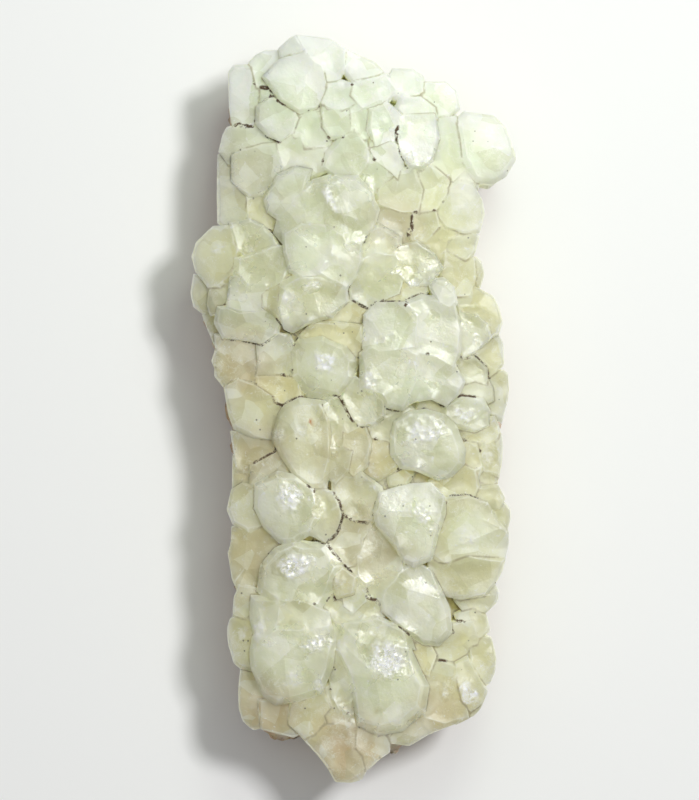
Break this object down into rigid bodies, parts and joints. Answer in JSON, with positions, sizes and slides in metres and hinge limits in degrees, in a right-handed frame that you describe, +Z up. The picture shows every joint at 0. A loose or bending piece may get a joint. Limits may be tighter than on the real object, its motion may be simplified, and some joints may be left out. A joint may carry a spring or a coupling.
{
  "type": "calcite cluster",
  "caption": "Long plate of intergrown translucent pale green calcite crystals on a thin remnant of peach matrix rock, lying flat.",
  "frame": {"origin": "under the middle of the specimen's box, on the surface that it rests on", "axes": "+X across the plate, +Y along it towards the broad bright end, +Z up out of the crystals"},
  "size_m": [0.0546, 0.1246, 0.0219],
  "materials": {
    "calcite": "gloss",
    "matrix_rock": "matte"
  },
  "bodies": {
    "root": {"crystal_crust": "calcite", "matrix_base": "matrix_rock"}
  },
  "joints": []
}
